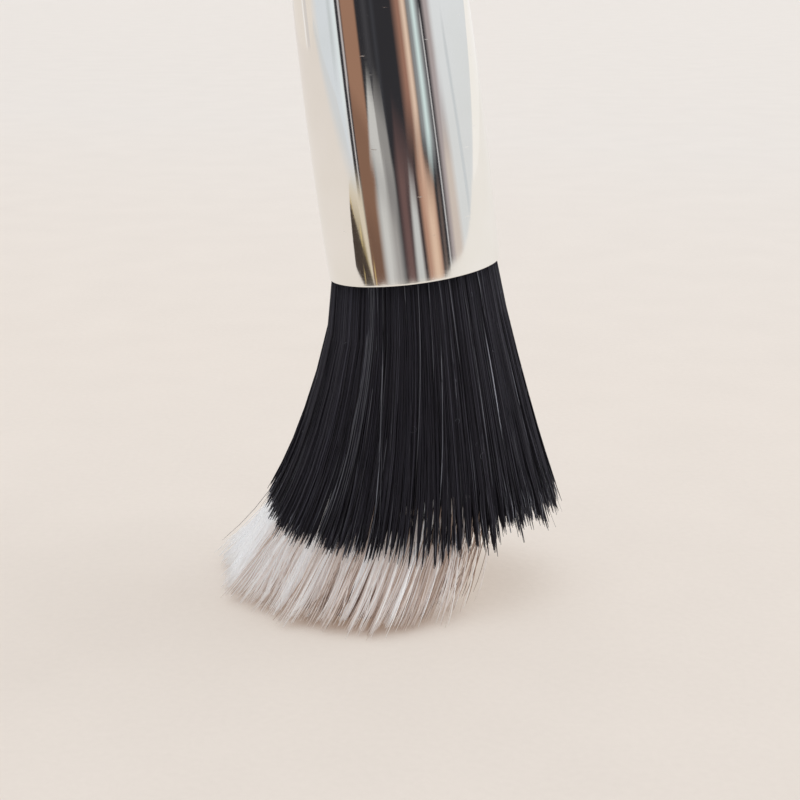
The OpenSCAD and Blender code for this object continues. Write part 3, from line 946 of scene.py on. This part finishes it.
# %% Glue and thread materials
def cast_epoxy():
    material, tree, shader = new_material("cast_epoxy", IOR=1.55, Subsurface_Weight=0.2,
                                          Subsurface_Scale=1.0 * MM)
    where = add(tree, "ShaderNodeTexCoord")
    cloud = add(tree, "ShaderNodeTexNoise",
                {"Vector": where.outputs["Object"], "Scale": per_metre(2.5), "Detail": 3.0})
    colour = add(tree, "ShaderNodeValToRGB", {"Fac": cloud.outputs["Fac"]},
                 stops=[(0.3, "#b4985c"), (0.7, "#c9b178")])
    gloss = add(tree, "ShaderNodeMapRange", {"Value": cloud.outputs["Fac"], "To Min": 0.2, "To Max": 0.4})
    feed(tree, shader, Base_Color=colour.outputs["Color"], Roughness=gloss.outputs["Result"])
    return material


def twisted_cotton():
    material, tree, shader = new_material("twisted_cotton_thread", Sheen_Weight=0.3, Roughness=0.85)
    where = add(tree, "ShaderNodeTexCoord")
    twist = add(tree, "ShaderNodeTexWave",
                {"Vector": where.outputs["Object"], "Scale": per_metre(6), "Distortion": 1.5},
                bands_direction="DIAGONAL")
    colour = add(tree, "ShaderNodeValToRGB", {"Fac": twist.outputs["Fac"]},
                 stops=[(0.0, "#cbc3b2"), (1.0, "#e6e0d2")])
    bump = add(tree, "ShaderNodeBump", {"Height": twist.outputs["Fac"], "Strength": 0.5,
                                        "Distance": 0.03 * MM})
    feed(tree, shader, Base_Color=colour.outputs["Color"], Normal=bump.outputs["Normal"])
    return material


finish_node("glue_plug", cast_epoxy())
finish_node("binding_thread", twisted_cotton())

# %% [markdown]
# ## Floor
# The brush stands on a pale, soft sheet of felt paper. It has no pattern, only faint clouds and a fine
# tooth, and it is painted slightly darker towards the viewer and the left, a painted fall of the light. It
# lets light through, as on a light table, so the brush's own shadow stays faint. What comes through is
# warmer than what the sheet reflects. Close to the tips the light from below is painted brown, a painted
# contact
# shadow: an Ambient Occlusion node finds these places. Mirrors don't see this big floor. They see a smaller
# sheet, which comes later.

# %% Floor
FLOOR_HALF = 6000
FLOOR_Z = -0.01
# The share of the light that comes through the sheet, and its tint in linear red, green and blue
FROM_BELOW = 0.5
WARMTH = (1.12, 1.0, 0.88)
CONTACT_REACH = 5
# Painted fall of the light: the sheet darkens towards the viewer and the left between these two distances,
# in mm
NEAR, FAR = -60, 400
TOWARDS_FAR = (0.5, 1, 0)


def felt_paper():
    material, tree, shader = new_material("felt_paper", Roughness=0.95, Specular_IOR_Level=0.1,
                                          Emission_Strength=FROM_BELOW)
    where = add(tree, "ShaderNodeTexCoord")
    along = add(tree, "ShaderNodeVectorMath", {0: where.outputs["Object"], 1: TOWARDS_FAR},
                operation="DOT_PRODUCT")
    depth = add(tree, "ShaderNodeMapRange",
                {"Value": along.outputs["Value"], "From Min": NEAR * MM, "From Max": FAR * MM})
    base = add(tree, "ShaderNodeValToRGB", {"Fac": depth.outputs["Result"]},
               stops=[(0.0, "#e6dfd9"), (0.3, "#e7e0da"), (1.0, "#e7e3e0")])
    cloud = add(tree, "ShaderNodeTexNoise",
                {"Vector": where.outputs["Object"], "Scale": per_metre(14), "Detail": 2.0})
    grain = add(tree, "ShaderNodeTexNoise",
                {"Vector": where.outputs["Object"], "Scale": per_metre(0.8), "Detail": 3.0})
    mottle = add(tree, "ShaderNodeMath", {0: cloud.outputs["Fac"], 1: grain.outputs["Fac"]})
    shade = add(tree, "ShaderNodeMapRange", {"Value": mottle.outputs["Value"], "From Min": 0.4,
                                             "From Max": 1.6, "To Min": 0.97, "To Max": 1.03})
    colour = add(tree, "ShaderNodeVectorMath",
                 {0: base.outputs["Color"], "Scale": shade.outputs["Result"]}, operation="SCALE")
    tooth = add(tree, "ShaderNodeTexNoise",
                {"Vector": where.outputs["Object"], "Scale": per_metre(0.9), "Detail": 5.0})
    bump = add(tree, "ShaderNodeBump", {"Height": tooth.outputs["Fac"], "Strength": 0.25,
                                        "Distance": 0.12 * MM})
    # Painted contact shadow: the light from below turns brown where the brush is near
    painted_contact_shadow = add(tree, "ShaderNodeAmbientOcclusion", {"Distance": CONTACT_REACH * MM}, samples=6)
    shade_tint = add(tree, "ShaderNodeValToRGB", {"Fac": painted_contact_shadow.outputs["AO"]},
                     stops=[(0.0, "#a98d77"), (0.85, "#ffffff")])
    warmed = add(tree, "ShaderNodeVectorMath", {0: colour.outputs["Vector"], 1: WARMTH},
                 operation="MULTIPLY")
    passed = add(tree, "ShaderNodeVectorMath", {0: warmed.outputs["Vector"], 1: shade_tint.outputs["Color"]},
                 operation="MULTIPLY")
    off_it = [1 - FROM_BELOW * share for share in WARMTH]
    reflected = add(tree, "ShaderNodeVectorMath", {0: colour.outputs["Vector"], 1: off_it},
                    operation="MULTIPLY")
    feed(tree, shader, Base_Color=reflected.outputs["Vector"], Emission_Color=passed.outputs["Vector"],
         Normal=bump.outputs["Normal"])
    return material


floor_corners = [(x * FLOOR_HALF, y * FLOOR_HALF, FLOOR_Z) for x, y in ((-1, -1), (1, -1), (1, 1), (-1, 1))]
floor = new_object("floor", floor_corners, [(0, 1, 2, 3)], felt_paper(), smooth=False)
floor.visible_glossy = False
print("floor in", floor.data.materials[0].name)

# %% [markdown]
# ## What the mirror sees
# A polished tube has hardly a colour of its own: it shows a squeezed picture of everything round it. In
# a studio that is arranged with cards. Here a sheet lies under the brush, and dark, tan and pale cards stand
# round it at a distance. Only reflections see them, so they cast neither light nor shade on the fibres.
# A card is a patch of a big cylinder, told in degrees: azimuth 0 is the viewer's side and 90 the right. It
# has its two sides at the foot and at the top, its lowest and highest elevation as seen from the ferrule's
# mouth, and the softness of its edges. Each card lies in front of those that come before it in the list.

# %% Reflection cards
Card = namedtuple("Card", "foot top low high soft colour")
CARDS = [
    Card((-98, -58), (-98, -58), -40, 75, 5.0, "#d3d7da"),
    Card((-123, -119.5), (-123, -119.5), -8.5, 20, 0.8, "#efebe8"),
    Card((-118.5, -112.5), (-118.5, -112.5), -10, 20, 1.5, "#cdc7c3"),
    Card((-73, -68.5), (-73, -68.5), -10, 75, 2.0, "#c3c8c9"),
    Card((-66.5, -61), (-66.5, -61), -11.5, 75, 1.2, "#dbe2e3"),
    Card((-61, 60), (-61, 60), -40, 75, 0.6, "#2f2e31"),
    Card((-57, -54), (-57, -54), -9, 75, 0.5, "#bdb6b5"),
    Card((-57, -55.3), (-57.2, -55.3), -15.2, -8, 0.4, "#cfc8c6"),
    Card((-72, -52), (-88, -54), -22, -13.5, 1.2, "#d3c6b1"),
    Card((-84, -76), (-84, -78), -18, -13.8, 1.0, "#b8a275"),
    Card((-92, -51), (-92, -66), -22.5, -15.4, 2.4, "#8a7850"),
    Card((-92, -40), (-92, -81), -21.8, -15.0, 0.6, "#453b34"),
    Card((-68.8, -66.6), (-78, -75.6), -18.2, -15.2, 0.4, "#c8ad74"),
    Card((-69, -67.5), (-64.5, -63), -20.7, -16.8, 0.4, "#d6bc80"),
    Card((-53, -33.5), (-53.5, -33.5), -30, 75, 1.2, "#98735e"),
    Card((-53, -33), (-53, -33), -34, -8, 1.2, "#81614f"),
    Card((-53, -33), (-53, -33), -34, -14.5, 1.5, "#735748"),
    Card((-52, -50.2), (-51.5, -50), -20.4, -18.2, 0.4, "#c8ad74"),
    Card((-25, -19), (-25, -19), -30, 75, 3.0, "#3f3e41"),
    Card((-14, -10), (-14, -10), -30, 75, 2.0, "#3a3a3e"),
    Card((-35, -6), (-17, -15), -12, -3.6, 2.2, "#8f8c89"),
    Card((-34, -9), (-32, -10), -30, -8, 3.5, "#9f9b98"),
    Card((-38, -19.5), (-26.5, -25.5), -12, -4.6, 1.5, "#c4c2be"),
    Card((-36.5, -19), (-34.5, -21), -30, -8.5, 3.6, "#c7c5c1"),
    Card((-28, -20), (-28, -20), -34, -16, 2.5, "#a7a29f"),
    Card((-10, 19), (-3, 15), -34, -3, 3.5, "#6b5350"),
    Card((2, 7), (4, 8), -34, -6, 2.0, "#4d4040"),
    Card((14.5, 31), (12.5, 31), -5, 75, 3.0, "#946e5e"),
    Card((23, 44.5), (19, 39.5), -20, -2.5, 2.0, "#ad8672"),
    Card((25, 30.8), (25, 30.8), -5, 75, 3.0, "#dcc1ac"),
    Card((28.5, 41.5), (26.5, 38), -20, -3, 2.6, "#d8b9a1"),
    Card((25, 30), (25.5, 30), -8, -1, 2.5, "#c7a38d"),
    Card((4, 18), (10.5, 14), -17, -5.5, 2.2, "#c1c1be"),
    Card((32, 48), (32, 48), -3.2, 75, 1.5, "#87898a"),
    Card((38, 43.6), (38, 43.6), -4, 75, 2.2, "#cddddb"),
    Card((44.5, 49), (43.5, 48), -30, -2.5, 1.0, "#655853"),
    Card((51.5, 53.2), (48.4, 50), -10, 7, 0.5, "#cdcaca"),
    Card((54.3, 200), (54.3, 200), -34, 75, 2.4, "#a79c9b"),
    Card((58, 200), (60, 200), -34, 2, 2.0, "#cabdb3"),
    Card((77, 200), (62, 200), -13, 12, 3.5, "#d5d6d5"),
    Card((64, 200), (64, 200), 0, 75, 4.0, "#d9dbdc"),
    Card((89, 93), (78, 82), -4, 8, 1.5, "#c4c8ca"),
    Card((73, 200), (155, 200), -6, 7, 1.5, "#f0ebe4"),
    Card((150, 200), (150, 200), 3, 75, 3.0, "#f0ebe4"),
]
print("reflection cards:", len(CARDS))

# %% [markdown]
# Each card becomes a small grid of points. Its cover is 1 inside and 0 at its edges, and the material mixes
# the glow with clear by it, so the card fades out over its softness. All the cards are one mesh.

# %% Mesh of the cards
CARD_DISTANCE = 3000
CARD_STEP = 15
COLUMN_WIDTH = 6
# The most of a card that one of its soft edges may take
MOST_EDGE = 0.45


def seen_as(code):
    """The colour that a card needs, so that it looks like this in the nickel's own tint."""
    return [card / metal for card, metal in zip(linear(code), linear(NICKEL))]


def card_grid(card, radius):
    """Points and cover of one card: it fades out over the softness of its edges."""
    width = card.foot[1] - card.foot[0]
    edge = min(2 * card.soft / width, MOST_EDGE)
    columns = max(2, int(width / COLUMN_WIDTH))
    across = np.concatenate([[0], np.linspace(edge, 1 - edge, columns), [1]])
    up_edge = min(1.5 * card.soft / (card.high - card.low), MOST_EDGE)
    up = np.array([0, up_edge, 1 - up_edge, 1])[:, None]
    left = card.foot[0] + (card.top[0] - card.foot[0]) * up
    right = card.foot[1] + (card.top[1] - card.foot[1]) * up
    azimuth = np.radians(left - card.soft + (right - left + 2 * card.soft) * across)
    height = radius * np.tan(np.radians(card.low + (card.high - card.low) * up)) + MOUTH_Z
    points = np.stack([radius * np.sin(azimuth), -radius * np.cos(azimuth), height + 0 * azimuth], -1)
    cover = np.ones(points.shape[:2])
    cover[[0, -1]] = 0
    cover[:, [0, -1]] = 0
    return points, cover


def card_material():
    material, tree = empty_material("lit_card")
    tint = add(tree, "ShaderNodeAttribute", attribute_name="tint")
    cover = add(tree, "ShaderNodeAttribute", attribute_name="cover")
    glow = add(tree, "ShaderNodeEmission", {"Color": tint.outputs["Color"]})
    clear = add(tree, "ShaderNodeBsdfTransparent")
    mixed = add(tree, "ShaderNodeMixShader",
                {0: cover.outputs["Fac"], 1: clear.outputs["BSDF"], 2: glow.outputs["Emission"]})
    add(tree, "ShaderNodeOutputMaterial", {"Surface": mixed.outputs["Shader"]})
    return material


def only_reflected(made):
    """Hides an object from everything but mirrors."""
    made.visible_camera = False
    made.visible_diffuse = False
    made.visible_shadow = False
    made.visible_transmission = False


card_points, card_faces, card_cover, card_tint = [], [], [], []
for number, card in enumerate(CARDS):
    points, cover = card_grid(card, CARD_DISTANCE - CARD_STEP * number)
    index = np.arange(cover.size).reshape(cover.shape) + sum(len(p) for p in card_points)
    quads = np.stack([index[:-1, :-1], index[:-1, 1:], index[1:, 1:], index[1:, :-1]], -1)
    card_faces += quads.reshape(-1, 4).tolist()
    card_points.append(points.reshape(-1, 3))
    card_cover.append(cover.ravel())
    card_tint.append(np.tile(seen_as(card.colour), (cover.size, 1)))
cards = new_object("reflection_cards", np.concatenate(card_points), card_faces, card_material(),
                   smooth=False)
set_attribute(cards, "cover", np.concatenate(card_cover))
tint_data = cards.data.attributes.new("tint", "FLOAT_COLOR", "POINT").data
tint_data.foreach_set("color", np.concatenate(card_tint).ravel().astype(np.float32))
only_reflected(cards)
print("points of the cards:", len(cards.data.vertices))

# %% [markdown]
# Under the brush, mirrors see a smaller sheet, which ends a little in front of the brush. The ferrule shows
# it as its pale fields, so its near edge is curved as their ends are. The sheet is paler towards the right,
# and greyer along its near edge.

# %% Reflected sheet
# Its outline, in millimetres on the surface: the near edge from left to right, then the far corners
SHEET_OUTLINE = [(-370, 140), (-474, 75), (-345, -30), (-285, -81), (-221, -91), (-179, -96), (-167, -56),
                 (-147, -39), (-126, -29), (-110, -23), (-96, -38), (-84, -66), (-74, -86), (-50, -113),
                 (-10, -142), (32, -160), (84, -171), (157, -171), (230, -175), (289, -154), (440, -102),
                 (641, -29), (1395, 228), (1400, 1500), (-300, 1500), (-300, 420)]
# Its tones change from left to right over this far on either side of the brush, and its grey edge grows
# between these two distances towards the viewer, in mm
TONES_HALF = 250
GREY_FROM, GREY_TO = -130, -172
TOWARDS_REAR = (0.5, 0.866, 0)


def sheet_material():
    material, tree = empty_material("lit_sheet")
    where = add(tree, "ShaderNodeTexCoord")
    parts = add(tree, "ShaderNodeSeparateXYZ", {"Vector": where.outputs["Object"]})
    side = add(tree, "ShaderNodeMapRange", {"Value": parts.outputs["X"], "From Min": -TONES_HALF * MM,
                                            "From Max": TONES_HALF * MM})
    colour = add(tree, "ShaderNodeValToRGB", {"Fac": side.outputs["Result"]},
                 stops=[(0.0, "#e6e0dc"), (0.5, "#ebe6e1"), (1.0, "#f2f0ee")])
    inside = add(tree, "ShaderNodeVectorMath", {0: where.outputs["Object"], 1: TOWARDS_REAR},
                 operation="DOT_PRODUCT")
    grey = add(tree, "ShaderNodeMapRange",
               {"Value": inside.outputs["Value"], "From Min": GREY_TO * MM, "From Max": GREY_FROM * MM,
                "To Min": 1.0, "To Max": 0.0})
    shaded = add(tree, "ShaderNodeMix", {"Factor": grey.outputs["Result"], 6: colour.outputs["Color"],
                                         7: seen_as("#cfd0d0")}, data_type="RGBA")
    glow = add(tree, "ShaderNodeEmission", {"Color": shaded.outputs[2]})
    add(tree, "ShaderNodeOutputMaterial", {"Surface": glow.outputs["Emission"]})
    return material


sheet = new_object("reflected_sheet", [(x, y, FLOOR_Z) for x, y in SHEET_OUTLINE],
                   [tuple(range(len(SHEET_OUTLINE)))], sheet_material(), smooth=False)
only_reflected(sheet)
print("corners of the sheet:", len(SHEET_OUTLINE))

# %% [markdown]
# ## Light
# Soft light from all round would lose the tufts, and one hard lamp would blacken the gaps. So a good part
# of the light comes evenly from the world, and the rest from two very wide suns: a high one that stands
# almost straight above, and a low one from the right and a little behind, which reaches under the flare. A
# lamp's share is the part of a level surface's light that it gives. All the shares add up to 1, so a colour
# renders about as it is written.

# %% World and suns
Lamp = namedtuple("Lamp", "name direction width share")
LAMPS = [
    Lamp("high_sun", (0.05, 0.12, 1.0), 60, 0.38),
    Lamp("low_sun", (1.0, 0.25, 0.45), 60, 0.16),
]
WORLD_STRENGTH = 1 - sum(lamp.share for lamp in LAMPS)

world = bpy.data.worlds.new("studio")
bpy.context.scene.world = world
world.use_nodes = True
tree = world.node_tree
tree.nodes.clear()
path = add(tree, "ShaderNodeLightPath")
around = add(tree, "ShaderNodeBackground", {"Color": linear("#fffdfb"), "Strength": WORLD_STRENGTH})
seen = add(tree, "ShaderNodeBackground", {"Color": linear("#e9e4df"), "Strength": 1.0})
mirrored = add(tree, "ShaderNodeBackground", {"Color": linear("#e9e3de"), "Strength": 1.0})
with_mirror = add(tree, "ShaderNodeMixShader",
                  {0: path.outputs["Is Glossy Ray"], 1: around.outputs[0], 2: mirrored.outputs[0]})
with_camera = add(tree, "ShaderNodeMixShader",
                  {0: path.outputs["Is Camera Ray"], 1: with_mirror.outputs[0], 2: seen.outputs[0]})
add(tree, "ShaderNodeOutputWorld", {"Surface": with_camera.outputs[0]})

for lamp in LAMPS:
    towards = Vector(lamp.direction).normalized()
    sun = bpy.data.objects.new(lamp.name, bpy.data.lights.new(lamp.name, "SUN"))
    sun.data.energy = lamp.share * math.pi / towards.z
    sun.data.angle = math.radians(lamp.width)
    sun.data.color = linear("#fffaf4")[:3]
    sun.rotation_euler = towards.to_track_quat("Z", "Y").to_euler()
    bpy.context.scene.collection.objects.link(sun)
    print(lamp.name, "strength", round(sun.data.energy, 2))
